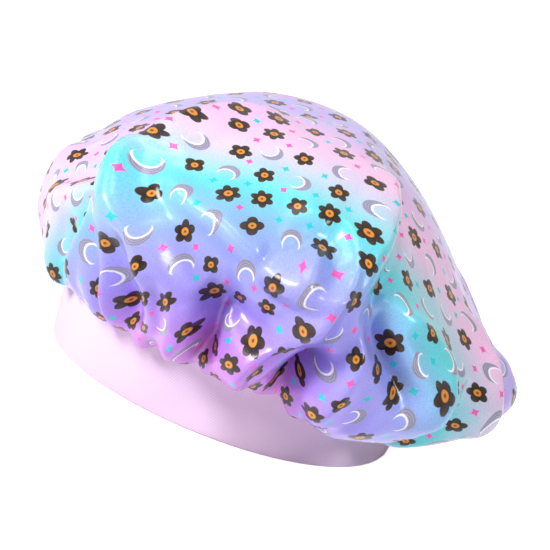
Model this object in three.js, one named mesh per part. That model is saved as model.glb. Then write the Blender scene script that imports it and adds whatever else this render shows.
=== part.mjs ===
// Hair bonnet: a gathered satin crown sewn to a wide, soft elastic band.
// Millimetres, +Z up, brow towards -Y, nape towards +Y. The origin is the middle of the head opening,
// in the plane of the band's rim, which is the face that the bonnet stands on.

import * as THREE from "three";

// Head opening and band
const RIM_HALF_WIDTH = 76; // to the band's outer face, ear to ear
const RIM_HALF_LENGTH = 92; // to the band's outer face, brow to nape
const OVAL_SHARE = 0.06; // how much narrower a head is at the brow than at the nape
const BAND_HEIGHT = 36;
const BAND_FLARE = 3; // how far the top edge stands out past the rim
const COVER_THICKNESS = 0.7; // one ply of the folded cover
const ELASTIC_THICKNESS = 1.2;
const RIM_ROUNDING = 0.6; // the soft fold along the rim
const SEAM_STRIP = 3; // the cover's top edge above the elastic, where the crown is sewn on
const PLAY = 0.3; // between two pieces that touch

// Crown
const CLOTH_THICKNESS = 0.8;
const SEAM_ALLOWANCE = 8; // the crown's raw edge, turned down inside the band
const CROWN_RISE = 114; // from the seam to the top
const TOP_BEHIND = 22; // the top lies this far behind the middle
const BROW_REACH = 116; // the puffed crown, from the middle
const EAR_REACH = 113;
const NAPE_REACH = 142;
const PUFF = 14; // height of a full fold
const FOLD_REACH = 16; // half-width of a full fold
const BAND_CLEARANCE = 1; // from the band's outer face to the puffs that start at its top edge

// Each section runs from the seam to the top. Below the widest point a place is given as shares of the
// overhang past the band and of the rise; above it, as shares of the reach and of the rise.
const BROW_LOWER_SHARES = [[0.45, 0.01], [0.86, 0.12], [1, 0.33]];
const BROW_UPPER_SHARES = [[0.95, 0.56], [0.75, 0.75], [0.47, 0.9], [0.13, 0.985]];
const EAR_LOWER_SHARES = [[0.44, 0], [0.82, 0.12], [1, 0.35]];
const EAR_UPPER_SHARES = [[0.94, 0.59], [0.77, 0.79], [0.52, 0.92], [0.25, 0.98]];
const NAPE_LOWER_SHARES = [[0.05, -0.175], [0.29, -0.19], [0.76, -0.09], [1, 0.07]];
const NAPE_UPPER_SHARES = [[0.89, 0.26], [0.68, 0.52], [0.43, 0.81]];

// Main folds. Each row: height (below zero a valley), width, and lap as shares of PUFF and FOLD_REACH,
// then the line it follows: places as [degrees round from the brow, share of the way up the cloth].
// A lap makes the side on the left of its line stand out over the right side, or, below zero, under it.
const FOLD_SHARES = [
  // ear side, brow to nape
  [0.8, 0.95, -0.9, [[33, 0.06], [34, 0.15], [35, 0.26], [33, 0.34], [29, 0.42], [24, 0.54]]],
  [-0.35, 0.8, 0, [[28, 0.42], [20, 0.35], [6, 0.27]]],
  [-0.5, 0.75, 0, [[51, 0.05], [47, 0.13], [43, 0.21], [39, 0.29]]],
  [0.85, 0.75, 0, [[64, 0.08], [61, 0.15], [55, 0.22], [49, 0.27], [43, 0.33], [36, 0.38]]],
  [-0.75, 0.7, 0, [[75, 0.05], [71, 0.11], [68, 0.17], [65, 0.23]]],
  [0.7, 1, 0, [[45, 0.4], [56, 0.35], [64, 0.32], [71, 0.31], [77, 0.34], [83, 0.39]]],
  [-0.55, 0.95, 0, [[77, 0.16], [81, 0.21], [84, 0.26]]],
  [0.85, 0.8, 0, [[92, 0.06], [89, 0.13], [88, 0.2], [89, 0.27], [91, 0.34], [90, 0.42]]],
  [-0.8, 0.7, 0, [[100, 0.04], [98, 0.11], [97, 0.18], [98, 0.26]]],
  [0.6, 0.9, 0, [[108, 0.09], [108, 0.17], [107, 0.25]]],
  [0.7, 1, 0.8, [[95, 0.36], [93, 0.43], [94, 0.5], [97, 0.6]]],
  [0.35, 0.75, 0, [[101, 0.43], [110, 0.42], [120, 0.41]]],
  [0.6, 0.85, 0.8, [[121, 0.14], [119, 0.22], [119, 0.29], [121, 0.37]]],
  [-0.35, 0.8, 0, [[131, 0.12], [131, 0.24], [133, 0.38]]],
  [0.5, 0.85, 0.7, [[142, 0.24], [141, 0.34], [144, 0.44]]],
  // nape and far side
  [-0.45, 0.8, 0, [[160, 0.12], [163, 0.26], [168, 0.4]]],
  [0.55, 0.9, 0, [[176, 0.12], [178, 0.28], [176, 0.44]]],
  [-0.55, 0.8, 0, [[190, 0.12], [189, 0.28], [185, 0.4]]],
  [0.6, 0.95, 0.8, [[208, 0.1], [205, 0.26], [209, 0.42], [214, 0.56]]],
  [-0.5, 0.75, 0, [[222, 0.08], [221, 0.22], [225, 0.34]]],
  [0.6, 0.9, 0, [[236, 0.1], [237, 0.24], [242, 0.38]]],
  [-0.65, 0.8, 0, [[251, 0.08], [252, 0.2], [257, 0.33]]],
  [0.6, 1.05, 0, [[265, 0.12], [271, 0.27], [280, 0.38]]],
  [-0.65, 0.75, 0, [[281, 0.08], [284, 0.2], [290, 0.31]]],
  [0.6, 0.85, 0.8, [[296, 0.08], [299, 0.24], [305, 0.38], [312, 0.52]]],
  [-0.5, 0.75, 0, [[312, 0.08], [315, 0.2], [321, 0.3]]],
  [0.55, 0.8, 0, [[327, 0.1], [330, 0.22], [336, 0.36]]],
  [-0.4, 0.7, 0, [[342, 0.09], [345, 0.2], [349, 0.3]]],
  [0.45, 0.8, 0, [[357, 0.1], [359, 0.24], [363, 0.38]]],
];
const LAP_SHARE = 1.6; // how far a full lap tips a fold over, as a share of its height per width
const ENDS_SHARE = 0.5; // below 1, a fold keeps its height nearly to its ends
const SEAM_FADE_SHARE = 0.16; // way up the cloth over which the folds start

// How finely the cloth is drawn: rings from the seam up, as shares of the way, and columns round it.
// Above the rings that carry the folds, every second column stops.
const RING_SHARES = [0, 0.05, 0.11, 0.18, 0.25, 0.33, 0.41, 0.5, 0.6, 0.71, 0.82, 0.92];
const FOLD_RINGS = 8;
const COLUMNS = 52;
const BAND_COLUMNS = 2 * COLUMNS;
const LINE_STEPS = 20; // points taken along a fold's line
const NORMAL_STEP_SHARE = 0.004; // of the way and, in radians, of the turn

const BAND_WALL = 2 * COVER_THICKNESS + ELASTIC_THICKNESS + 2 * PLAY;
const TURN = 2 * Math.PI;
const satin = { color: 0xb9b4ee, roughness: 0.32, metalness: 0 };
const knit = { color: 0xf0d3f2, roughness: 0.85, metalness: 0 };
const elastic = { color: 0xf4f1ea, roughness: 0.9, metalness: 0 };

// A place on an oval round the head, a distance outside the rim's outer face.
function ringPoint(turn, outside, z) {
  const c = Math.cos(turn);
  return new THREE.Vector3(
    (RIM_HALF_WIDTH + outside) * Math.sin(turn) * (1 - OVAL_SHARE * c),
    -(RIM_HALF_LENGTH + outside) * c,
    z,
  );
}

// How far the band's outer face stands outside the rim at a height.
const flareAt = (z) => (BAND_FLARE * z) / BAND_HEIGHT;

// A ring with one cross-section all the way round: a closed outline of [outside, z], anticlockwise
// when seen with outwards on the right.
function ringSolid(outline, columns) {
  const n = outline.length;
  const positions = [];
  for (let i = 0; i < columns; i++)
    for (const [outside, z] of outline)
      positions.push(...ringPoint((TURN * i) / columns, outside, z).toArray());
  const faces = [];
  for (let i = 0; i < columns; i++)
    for (let j = 0; j < n; j++) {
      const a = i * n + j;
      const b = i * n + ((j + 1) % n);
      const c = ((i + 1) % columns) * n + ((j + 1) % n);
      const d = ((i + 1) % columns) * n + j;
      faces.push(a, d, c, a, c, b);
    }
  return geometryOf(positions, faces);
}

function geometryOf(positions, faces) {
  const geometry = new THREE.BufferGeometry();
  geometry.setAttribute("position", new THREE.Float32BufferAttribute(positions, 3));
  geometry.setIndex(faces);
  geometry.computeVertexNormals();
  return geometry;
}

// Knit strip folded double along the rim, with its two plies open at the top, where the crown is sewn on.
function bandCover() {
  const inner = -BAND_WALL;
  const floor = COVER_THICKNESS;
  return ringSolid(
    [
      [-RIM_ROUNDING, 0],
      [0, RIM_ROUNDING],
      [BAND_FLARE, BAND_HEIGHT],
      [BAND_FLARE - COVER_THICKNESS, BAND_HEIGHT],
      [flareAt(floor) - COVER_THICKNESS, floor],
      [flareAt(floor) + inner + COVER_THICKNESS, floor],
      [BAND_FLARE + inner + COVER_THICKNESS, BAND_HEIGHT],
      [BAND_FLARE + inner, BAND_HEIGHT],
      [inner, RIM_ROUNDING],
      [inner + RIM_ROUNDING, 0],
    ],
    BAND_COLUMNS,
  );
}

// Flat elastic, joined into a ring, that fills the cover from its fold up to the seam strip.
function bandElastic() {
  const bottom = COVER_THICKNESS + PLAY;
  const top = BAND_HEIGHT - SEAM_STRIP;
  const outer = -COVER_THICKNESS - PLAY;
  const inner = outer - ELASTIC_THICKNESS;
  return ringSolid(
    [
      [flareAt(bottom) + inner, bottom],
      [flareAt(bottom) + outer, bottom],
      [flareAt(top) + outer, top],
      [flareAt(top) + inner, top],
    ],
    BAND_COLUMNS,
  );
}

const SEAM_HEIGHT = BAND_HEIGHT + PLAY;
const heightAt = (rise) => SEAM_HEIGHT + rise * CROWN_RISE;

// A section of the crown as a curve of [distance from the middle, height].
function section(bandEdge, reach, lower, upper, top) {
  return new THREE.SplineCurve([
    new THREE.Vector2(bandEdge, SEAM_HEIGHT),
    ...lower.map(([out, rise]) => new THREE.Vector2(bandEdge + out * (reach - bandEdge), heightAt(rise))),
    ...upper.map(([out, rise]) => new THREE.Vector2(out * reach, heightAt(rise))),
    new THREE.Vector2(top, heightAt(1)),
  ]);
}
const LENGTH_EDGE = RIM_HALF_LENGTH + BAND_FLARE + BAND_CLEARANCE;
const WIDTH_EDGE = RIM_HALF_WIDTH + BAND_FLARE + BAND_CLEARANCE;
const brow = section(LENGTH_EDGE, BROW_REACH, BROW_LOWER_SHARES, BROW_UPPER_SHARES, -TOP_BEHIND);
const ear = section(WIDTH_EDGE, EAR_REACH, EAR_LOWER_SHARES, EAR_UPPER_SHARES, 0);
const nape = section(LENGTH_EDGE, NAPE_REACH, NAPE_LOWER_SHARES, NAPE_UPPER_SHARES, TOP_BEHIND);

// The crown with no folds: the three sections blended round the head.
function smoothCrown(turn, way) {
  const f = brow.getPointAt(way);
  const e = ear.getPointAt(way);
  const b = nape.getPointAt(way);
  const c = Math.cos(turn);
  const ends = (f.y + b.y) / 4;
  return new THREE.Vector3(
    e.x * Math.sin(turn) * (1 - OVAL_SHARE * c * (1 - way)),
    (b.x - f.x) / 2 - ((b.x + f.x) / 2) * c,
    ends + e.y / 2 + ((f.y - b.y) / 2) * c + (ends - e.y / 2) * Math.cos(2 * turn),
  );
}

// Outward normal of a surface given by a function of turn and way.
function normalOf(surface, turn, way) {
  const step = NORMAL_STEP_SHARE;
  const low = Math.max(way - step, 0);
  const high = Math.min(way + step, 1 - step);
  const round = surface(turn + step, way).sub(surface(turn - step, way));
  const up = surface(turn, high).sub(surface(turn, low));
  return round.cross(up).normalize();
}

// A fold's line on the smooth crown, as points with the direction that lies on its right.
function foldLine(places) {
  const track = new THREE.SplineCurve(
    places.map(([degrees, way]) => new THREE.Vector2(THREE.MathUtils.degToRad(degrees), way)),
  );
  const points = [];
  for (let i = 0; i <= LINE_STEPS; i++) {
    const { x: turn, y: way } = track.getPoint(i / LINE_STEPS);
    points.push({ at: smoothCrown(turn, way), normal: normalOf(smoothCrown, turn, way) });
  }
  points.forEach((p, i) => {
    const along = points[Math.min(i + 1, LINE_STEPS)].at.clone().sub(points[Math.max(i - 1, 0)].at);
    p.right = along.cross(p.normal).normalize();
  });
  return points;
}
const folds = FOLD_SHARES.map(([height, width, lap, places]) => ({
  height: height * PUFF,
  width: width * FOLD_REACH,
  lap,
  line: foldLine(places),
}));

// How far one fold lifts a place on the smooth crown: most on its line, and less towards both ends.
function liftOf(fold, at) {
  let nearest = Infinity;
  let where = 0;
  fold.line.forEach((p, i) => {
    const d = p.at.distanceToSquared(at);
    if (d < nearest) [nearest, where] = [d, i];
  });
  const p = fold.line[where];
  const side = at.clone().sub(p.at).dot(p.right) / fold.width;
  const fade = Math.sin((Math.PI * (where + 0.5)) / (LINE_STEPS + 1)) ** ENDS_SHARE;
  return fold.height * fade * Math.exp(-nearest / fold.width ** 2) * (1 - fold.lap * LAP_SHARE * side);
}

function foldedCrown(turn, way) {
  const at = smoothCrown(turn, way);
  const normal = normalOf(smoothCrown, turn, way);
  const lift = folds.reduce((sum, fold) => sum + liftOf(fold, at), 0);
  at.addScaledVector(normal, lift * THREE.MathUtils.smoothstep(way, 0, SEAM_FADE_SHARE));
  return keptOffBand(at, turn);
}

// Cloth that hangs beside the band stays outside it.
function keptOffBand(at, turn) {
  if (at.z > SEAM_HEIGHT) return at;
  const clear = ringPoint(turn, flareAt(at.z) + BAND_CLEARANCE, at.z);
  const push = Math.max(1, Math.hypot(clear.x, clear.y) / Math.hypot(at.x, at.y));
  at.x *= push;
  at.y *= push;
  return at;
}

// Circle of satin with its edge gathered into the seam: two skins joined round the turned-down allowance.
function crownPanel() {
  const positions = [];
  const faces = [];
  const add = (at) => positions.push(...at.toArray()) / 3 - 1;
  const turns = (columns) => Array.from({ length: columns }, (_, i) => (TURN * i) / columns);
  const row = (columns, place) => turns(columns).map((turn) => add(place(turn)));

  const bandInside = (z) => flareAt(z) - BAND_WALL - PLAY;
  const rawEdge = BAND_HEIGHT - SEAM_ALLOWANCE;
  const foot = row(COLUMNS, (turn) => ringPoint(turn, bandInside(rawEdge) - CLOTH_THICKNESS, rawEdge));
  const outer = [
    foot,
    row(COLUMNS, (turn) => ringPoint(turn, bandInside(rawEdge), rawEdge)),
    row(COLUMNS, (turn) => ringPoint(turn, bandInside(BAND_HEIGHT), SEAM_HEIGHT)),
  ];
  const inner = [
    foot,
    row(COLUMNS, (turn) =>
      ringPoint(turn, bandInside(BAND_HEIGHT) - CLOTH_THICKNESS, SEAM_HEIGHT + CLOTH_THICKNESS),
    ),
  ];
  const down = new THREE.Vector3(0, 0, -1);
  RING_SHARES.forEach((way, j) => {
    const columns = j < FOLD_RINGS ? COLUMNS : COLUMNS / 2;
    outer.push(row(columns, (turn) => foldedCrown(turn, way)));
    inner.push(
      row(columns, (turn) => {
        const offset = normalOf(foldedCrown, turn, way);
        if (way === 0) offset.add(down).divideScalar(1 + normalOf(foldedCrown, turn, way).dot(down));
        return foldedCrown(turn, way).addScaledVector(offset, -CLOTH_THICKNESS);
      }),
    );
  });
  const top = smoothCrown(0, 1);
  outer.push([add(top)]);
  inner.push([add(top.clone().addScaledVector(down, CLOTH_THICKNESS))]);

  const face = (inward, a, b, c) => faces.push(...(inward ? [a, c, b] : [a, b, c]));
  for (const rows of [outer, inner])
    for (let j = 0; j + 1 < rows.length; j++) stitch(rows[j], rows[j + 1], face.bind(null, rows === inner));
  return geometryOf(positions, faces);
}

// Faces between one row of vertices and the next: as many, half as many, or a single point.
function stitch(low, high, face) {
  const n = low.length;
  const m = high.length;
  if (m === 1) low.forEach((a, i) => face(a, low[(i + 1) % n], high[0]));
  else if (m === n)
    low.forEach((a, i) => {
      face(a, low[(i + 1) % n], high[(i + 1) % n]);
      face(a, high[(i + 1) % n], high[i]);
    });
  else
    high.forEach((d, i) => {
      const [a, b, c] = [low[2 * i], low[2 * i + 1], low[(2 * i + 2) % n]];
      face(a, b, d);
      face(b, c, high[(i + 1) % m]);
      face(b, high[(i + 1) % m], d);
    });
}

const bonnet = new THREE.Group();
function addPiece(name, geometry, finish) {
  const mesh = new THREE.Mesh(geometry, new THREE.MeshStandardMaterial(finish));
  mesh.name = name;
  bonnet.add(mesh);
}
addPiece("crown_panel", crownPanel(), satin);
addPiece("band_cover", bandCover(), knit);
addPiece("band_elastic", bandElastic(), elastic);

export default bonnet;
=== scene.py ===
"""Hair bonnet: a gathered satin crown on a wide, soft elastic band.

Metres, +Z up, brow towards -Y and nape towards +Y, as in the frame. The origin is the middle of the
head opening, in the plane of the band's rim."""
import math

import bpy
import numpy as np
from bpy.props import FloatProperty, FloatVectorProperty, IntProperty, PointerProperty
from mathutils import Matrix, Vector


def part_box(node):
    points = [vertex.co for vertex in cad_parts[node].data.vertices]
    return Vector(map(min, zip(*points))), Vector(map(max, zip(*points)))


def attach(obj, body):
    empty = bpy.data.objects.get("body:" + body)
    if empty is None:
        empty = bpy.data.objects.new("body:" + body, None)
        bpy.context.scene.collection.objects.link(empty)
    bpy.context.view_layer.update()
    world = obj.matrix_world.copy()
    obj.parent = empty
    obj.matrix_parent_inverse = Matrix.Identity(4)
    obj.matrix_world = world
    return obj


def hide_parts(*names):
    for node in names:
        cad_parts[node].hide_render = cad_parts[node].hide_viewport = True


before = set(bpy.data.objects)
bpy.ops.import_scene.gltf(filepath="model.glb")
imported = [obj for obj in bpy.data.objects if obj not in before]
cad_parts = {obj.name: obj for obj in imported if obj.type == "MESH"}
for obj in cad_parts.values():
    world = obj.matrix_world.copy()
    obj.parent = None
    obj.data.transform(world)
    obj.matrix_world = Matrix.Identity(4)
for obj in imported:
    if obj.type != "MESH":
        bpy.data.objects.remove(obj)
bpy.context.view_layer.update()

bl_info = {
    "name": "Hair bonnet",
    "version": (1, 0, 0),
    "blender": (4, 5, 0),
    "location": "3D View > Sidebar > Bonnet",
    "description": "Makes a satin hair bonnet on a wide elastic band, with its studio",
    "category": "Add Mesh",
}

MM = 0.001
TURN = 2 * math.pi

# Sizes in millimetres: the band's outside is read from the frame, and the rest repeats what the frame's
# pieces were built with
COVER_HIGH = np.array(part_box("band_cover")[1]) / MM
OVAL_SHARE = 0.06  # how much narrower a head is at the brow than at the nape
BAND_HEIGHT = COVER_HIGH[2]
BAND_FLARE = 3.0  # how far the top edge stands out past the rim
HALF_LENGTH = COVER_HIGH[1] - BAND_FLARE  # of the rim's outer face, brow to nape
HALF_WIDTH = COVER_HIGH[0] / (1 + OVAL_SHARE**2 / 2) - BAND_FLARE
RIM_LENGTH = TURN * (HALF_WIDTH + HALF_LENGTH) / 2
PLY = 0.7  # of the jersey
ELASTIC, ELASTIC_WIDTH = 1.2, 32.0
BRAID_RIB = 1.6  # from one rib of the elastic to the next
PLAY = 0.3  # between pieces that touch
BAND_WALL = 2 * PLY + ELASTIC + 2 * PLAY
SEAM_HEIGHT = BAND_HEIGHT + PLAY
SEAM_ALLOWANCE = 8.0
RAW_EDGE = BAND_HEIGHT - SEAM_ALLOWANCE
JOIN = math.radians(157)  # where the ends of the band's strip are sewn together
CROWN_RISE = 114.0
TOP_BEHIND = 22.0  # the top lies this far behind the middle
BAND_CLEARANCE = 1.0  # from the band's outer face to the puffs
BROW_REACH, EAR_REACH, NAPE_REACH = 116.0, 113.0, 142.0
CREST = 2.0  # radius of a fold's crest
FOLD_EASE = 0.16  # of the way up, where the folds grow out of the seam

# The print, in millimetres of cloth
UV_SPAN = 480.0  # one unit of the crown's UV map
OMBRE_REPEAT, OMBRE_START, OMBRE_SWAY = 260.0, 5.0, 40.0
MOTIF_SPACING = 17.0
INK_BLEED = 0.45
SPARKLE = 1.85
PETAL_ROOT, PETAL_LENGTH = 4.5, 2.4
HEART, PIP = 2.3, 0.8
CRESCENT, HOLLOW, HOLLOW_ASIDE, PALE_RIM = 5.4, 4.0, 2.6, 0.8

# The photograph's view: degrees, pixels, and the pixel where the origin lies
AZIMUTH, ELEVATION, ROLL = 80, 17, 21.5
PICTURE, PIXELS_PER_MM = 550, 1.93
ORIGIN_ACROSS, ORIGIN_DOWN = 222.5, 384.5
SENSOR = 36

# Rings of the cloth from the seam to the top, and columns round it, half as many above the gathers
LOWER_RINGS, UPPER_RINGS, COLUMNS = 28, 20, 300
RING_CHANGE = 0.46
FORM_COLUMNS, FORM_RINGS = 120, 40  # of the form that the cloth settles on

# How the cloth behaves while it settles
CLOTH = {
    "quality": 6,
    "mass": 0.14,  # of each vertex, in kilograms
    "air_damping": 3,
    "tension_stiffness": 30,
    "compression_stiffness": 8,
    "shear_stiffness": 2,
    "bending_stiffness": 0.03,
    "tension_damping": 10,
    "compression_damping": 10,
    "shear_damping": 10,
    "bending_damping": 0.5,
    "pin_stiffness": 3,
    "use_pressure": True,
    "uniform_pressure_force": 0.6,
}
SETTLING_FRAMES = 30
GRAVITY, GRAVITY_SHARE = 9.8, 0.3

# Sections of the crown from the seam to the top: below the widest point as shares of the overhang and
# of the rise, above it as shares of the reach and of the rise. The bag at the nape hangs 5 mm higher than
# on the frame's piece, as it does in the photograph.
BROW_LOWER = [(0.45, 0.01), (0.86, 0.12), (1, 0.33)]
BROW_UPPER = [(0.95, 0.56), (0.75, 0.75), (0.47, 0.9), (0.13, 0.985)]
EAR_LOWER = [(0.44, 0), (0.82, 0.12), (1, 0.35)]
EAR_UPPER = [(0.94, 0.59), (0.77, 0.79), (0.52, 0.92), (0.25, 0.98)]
NAPE_LOWER = [(0.05, -0.135), (0.29, -0.15), (0.76, -0.06), (1, 0.08)]
NAPE_UPPER = [(0.89, 0.26), (0.68, 0.52), (0.43, 0.81)]

# Folds: height and width in millimetres, lap, then places along the fold as
# (degrees round from the brow, share of the way up the cloth)
FOLDS = [
    # ear side, brow to nape
    (16, 15, -0.95, [(36, 0.06), (38, 0.15), (40, 0.26), (39, 0.34), (36, 0.42), (32, 0.52), (27, 0.63),
                     (19, 0.78)]),
    (-6, 11, 0, [(33, 0.42), (24, 0.35), (10, 0.27)]),
    (6, 10, 0, [(31, 0.36), (22, 0.28), (8, 0.21)]),
    (-7, 8, 0, [(24, 0.05), (25, 0.14), (23, 0.22)]),
    (10, 9, -0.9, [(52, 0.06), (50, 0.13), (48, 0.2), (45, 0.27), (42, 0.34)]),
    (-11, 8, 0, [(59, 0.05), (55, 0.13), (51, 0.21), (46, 0.29)]),
    (14, 6, 0, [(69, 0.09), (65, 0.15), (59, 0.2), (54, 0.25), (48, 0.3), (42, 0.35), (35, 0.42)]),
    (-8, 5, 0, [(66, 0.13), (61, 0.19), (56, 0.24)]),
    (8, 6, 0, [(67, 0.17), (62, 0.23), (56, 0.28), (50, 0.33)]),
    (10, 8, 0, [(70, 0.06), (70, 0.13), (69, 0.19), (66, 0.24)]),
    (-16, 6, 0, [(78, 0.05), (75, 0.1), (73, 0.15), (71, 0.2), (68, 0.26)]),
    (15, 13, 0.2, [(46, 0.41), (56, 0.4), (63, 0.4), (70, 0.39), (75, 0.4), (80, 0.43)]),
    (12, 12, 0.9, [(74, 0.37), (79, 0.38), (83, 0.39), (88, 0.39)]),
    (-11, 15, 0, [(65, 0.28), (71, 0.26), (77, 0.24), (82, 0.26), (86, 0.31)]),
    (-8, 7, 0, [(73, 0.39), (78, 0.44), (83, 0.5)]),
    (7, 10, 0, [(80, 0.49), (83, 0.43), (84, 0.37)]),
    (-13, 6, 0, [(84, 0.52), (86, 0.45), (87, 0.39)]),
    (16, 8, 0.5, [(88, 0.07), (83, 0.15), (82, 0.21), (84, 0.27), (87, 0.33), (88, 0.39), (88, 0.45),
                  (86, 0.52)]),
    (-18, 6, 0, [(98, 0.04), (96, 0.1), (94, 0.16), (93, 0.22), (94, 0.28)]),
    (9, 7, 0, [(102, 0.13), (101, 0.21), (99, 0.27), (96, 0.32)]),
    (7, 15, 0, [(106, 0.11), (109, 0.18), (113, 0.23)]),
    (8, 7, 0, [(95, 0.42), (96, 0.37), (99, 0.32), (104, 0.29), (110, 0.26), (117, 0.23)]),
    (-8, 6, 0, [(100, 0.41), (102, 0.35), (107, 0.31), (114, 0.28)]),
    (11, 15, 0.95, [(94, 0.33), (92, 0.4), (93, 0.48), (96, 0.57), (99, 0.68), (102, 0.8)]),
    (8, 7, 0, [(99, 0.43), (106, 0.43), (114, 0.42), (123, 0.4)]),
    (8, 6, 0, [(104, 0.4), (109, 0.35), (114, 0.31), (119, 0.27)]),
    (10, 12, 0.95, [(121, 0.14), (119, 0.22), (119, 0.28), (120, 0.34), (124, 0.4)]),
    (8, 11, 0.8, [(142, 0.24), (141, 0.34), (144, 0.43), (148, 0.53)]),
    (-6, 8, 0, [(131, 0.12), (131, 0.24), (133, 0.38)]),
    # nape and far side
    (-8, 12, 0, [(160, 0.12), (163, 0.26), (168, 0.4)]),
    (5, 16, 0, [(176, 0.12), (178, 0.28), (176, 0.42)]),
    (-9, 12, 0, [(190, 0.12), (189, 0.28), (185, 0.4)]),
    (6, 16, 0.6, [(208, 0.1), (205, 0.26), (209, 0.42), (214, 0.52)]),
    (-9, 11, 0, [(222, 0.08), (221, 0.22), (225, 0.34)]),
    (7, 17, 0, [(236, 0.1), (237, 0.24), (242, 0.38)]),
    (-10, 12, 0, [(251, 0.08), (252, 0.2), (257, 0.33)]),
    (7, 19, 0, [(265, 0.12), (271, 0.27), (280, 0.38)]),
    (-10, 11, 0, [(281, 0.08), (284, 0.2), (290, 0.31)]),
    (7, 15, 0.5, [(296, 0.08), (299, 0.22), (303, 0.34), (307, 0.44)]),
    (-9, 11, 0, [(312, 0.08), (315, 0.2), (321, 0.3)]),
    (6, 14, 0, [(327, 0.1), (330, 0.2), (335, 0.32)]),
    (-7, 9, 0, [(342, 0.09), (345, 0.2), (349, 0.3)]),
    (5, 14, 0, [(357, 0.1), (359, 0.22), (363, 0.34)]),
]


def linear(value):
    """sRGB hex to linear red, green and blue."""
    parts = [int(value[i:i + 2], 16) / 255 for i in (1, 3, 5)]
    return tuple(c / 12.92 if c <= 0.04045 else ((c + 0.055) / 1.055) ** 2.4 for c in parts)


def colour(name, what, value):
    return FloatVectorProperty(
        name=name, description=what, subtype="COLOR", size=3, min=0, max=1, default=linear(value))


class BonnetSizes(bpy.types.PropertyGroup):
    cut_radius: FloatProperty(
        name="Cut radius", description="Radius of the flat circle of satin, without its seam allowance",
        default=0.227, unit="LENGTH")
    gathers: IntProperty(name="Gathers", description="Small folds along the seam", default=46, min=12)
    gather_height: FloatProperty(
        name="Gather height", description="Depth of the small folds along the seam",
        default=0.0045, unit="LENGTH")
    crease: FloatProperty(
        name="Creases", description="Sharpness of the main folds", default=0.7, min=0, max=1)
    cloth_thickness: FloatProperty(
        name="Satin thickness", description="Thickness of the satin", default=0.0003, unit="LENGTH")
    stitch: FloatProperty(
        name="Overlock stitch", description="Distance from one overlock stitch to the next",
        default=0.0026, unit="LENGTH")


class BonnetColours(bpy.types.PropertyGroup):
    lavender: colour("Lavender", "First colour of the shaded ground", "#C0AEF1")
    pink: colour("Pink", "Second colour of the shaded ground", "#F6C2E6")
    aqua: colour("Aqua", "Third colour of the shaded ground", "#60D4DA")
    periwinkle: colour("Periwinkle", "Fourth colour of the shaded ground", "#A39FF2")
    lilac: colour("Lilac", "Fifth colour of the shaded ground", "#AB83E8")
    magenta: colour("Magenta", "Last colour of the shaded ground", "#DC7ED2")
    flower: colour("Flower", "Petals of the printed flowers", "#1F1513")
    amber: colour("Amber", "Hearts of the printed flowers", "#D98A2B")
    crescent: colour("Crescent", "Printed crescents", "#83809A")
    rose: colour("Rose", "Small rose sparkles", "#F25DB4")
    teal: colour("Teal", "Small teal sparkles", "#2CC6CC")
    band: colour("Band", "Jersey of the band", "#FBE2FA")


class BonnetStudio(bpy.types.PropertyGroup):
    distance: FloatProperty(
        name="Camera distance", description="From the camera to the object", default=1.0, unit="LENGTH")
    key: FloatProperty(
        name="Main light", description="Power of the light from the left", default=12.5, unit="POWER")
    fill: FloatProperty(
        name="Fill light", description="Power of the light from above, 2.5 times as much from the right",
        default=2.8, unit="POWER")


def ring(turn, outside, z):
    """Places on an oval round the head, a distance outside the rim's outer face, in millimetres."""
    turn, outside, z = np.broadcast_arrays(turn, outside, z)
    return np.stack([
        (HALF_WIDTH + outside) * np.sin(turn) * (1 - OVAL_SHARE * np.cos(turn)),
        -(HALF_LENGTH + outside) * np.cos(turn),
        z.astype(float),
    ], -1)


def flare(z):
    """How far the band's outer face stands out past the rim at a height."""
    return BAND_FLARE * z / BAND_HEIGHT


def mesh_piece(name, points, faces, materials, uv=None):
    """A new object from points in metres and faces, smooth, with a UV per vertex."""
    mesh = bpy.data.meshes.new(name)
    mesh.from_pydata(np.asarray(points).tolist(), [], faces)
    mesh.update()
    for material in materials:
        mesh.materials.append(material)
    mesh.polygons.foreach_set("use_smooth", [True] * len(mesh.polygons))
    if uv is not None:
        layer = mesh.uv_layers.new(name="cloth")
        corners = np.empty(len(mesh.loops), int)
        mesh.loops.foreach_get("vertex_index", corners)
        layer.data.foreach_set("uv", np.asarray(uv, np.float32)[corners].ravel())
    piece = bpy.data.objects.new(name, mesh)
    bpy.context.scene.collection.objects.link(piece)
    return piece


def apply_modifiers(piece):
    bpy.ops.object.select_all(action="DESELECT")
    piece.select_set(True)
    bpy.context.view_layer.objects.active = piece
    for modifier in list(piece.modifiers):
        bpy.ops.object.modifier_apply(modifier=modifier.name)


def tube(name, places, radius, material, sides=5):
    """A closed ring of thread through places in millimetres."""
    places = np.asarray(places, float)
    along = np.roll(places, -1, 0) - np.roll(places, 1, 0)
    along /= np.linalg.norm(along, axis=1)[:, None]
    out = np.cross(along, places * (1, 1, 0))
    out /= np.linalg.norm(out, axis=1)[:, None]
    other = np.cross(along, out)
    turn = np.arange(sides) * TURN / sides
    round_it = np.cos(turn)[:, None] * out[:, None] + np.sin(turn)[:, None] * other[:, None]
    points = places[:, None] + radius * round_it
    n = len(places)
    faces = [(i * sides + j, i * sides + (j + 1) % sides,
              (i + 1) % n * sides + (j + 1) % sides, (i + 1) % n * sides + j)
             for i in range(n) for j in range(sides)]
    return mesh_piece(name, points.reshape(-1, 3) * MM, faces, [material])


def add(tree, kind, links=None, **settings):
    """Adds a node. A link's value is a node, which stands for its first output in use, one of its outputs,
    or a plain value for the input."""
    made = tree.nodes.new(kind)
    for name, value in settings.items():
        setattr(made, name, value)
    for name, value in (links or {}).items():
        if isinstance(value, bpy.types.Node):
            value = next(output for output in value.outputs if output.enabled)
        if isinstance(value, bpy.types.NodeSocket):
            tree.links.new(value, made.inputs[name])
        else:
            made.inputs[name].default_value = value
    return made


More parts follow.
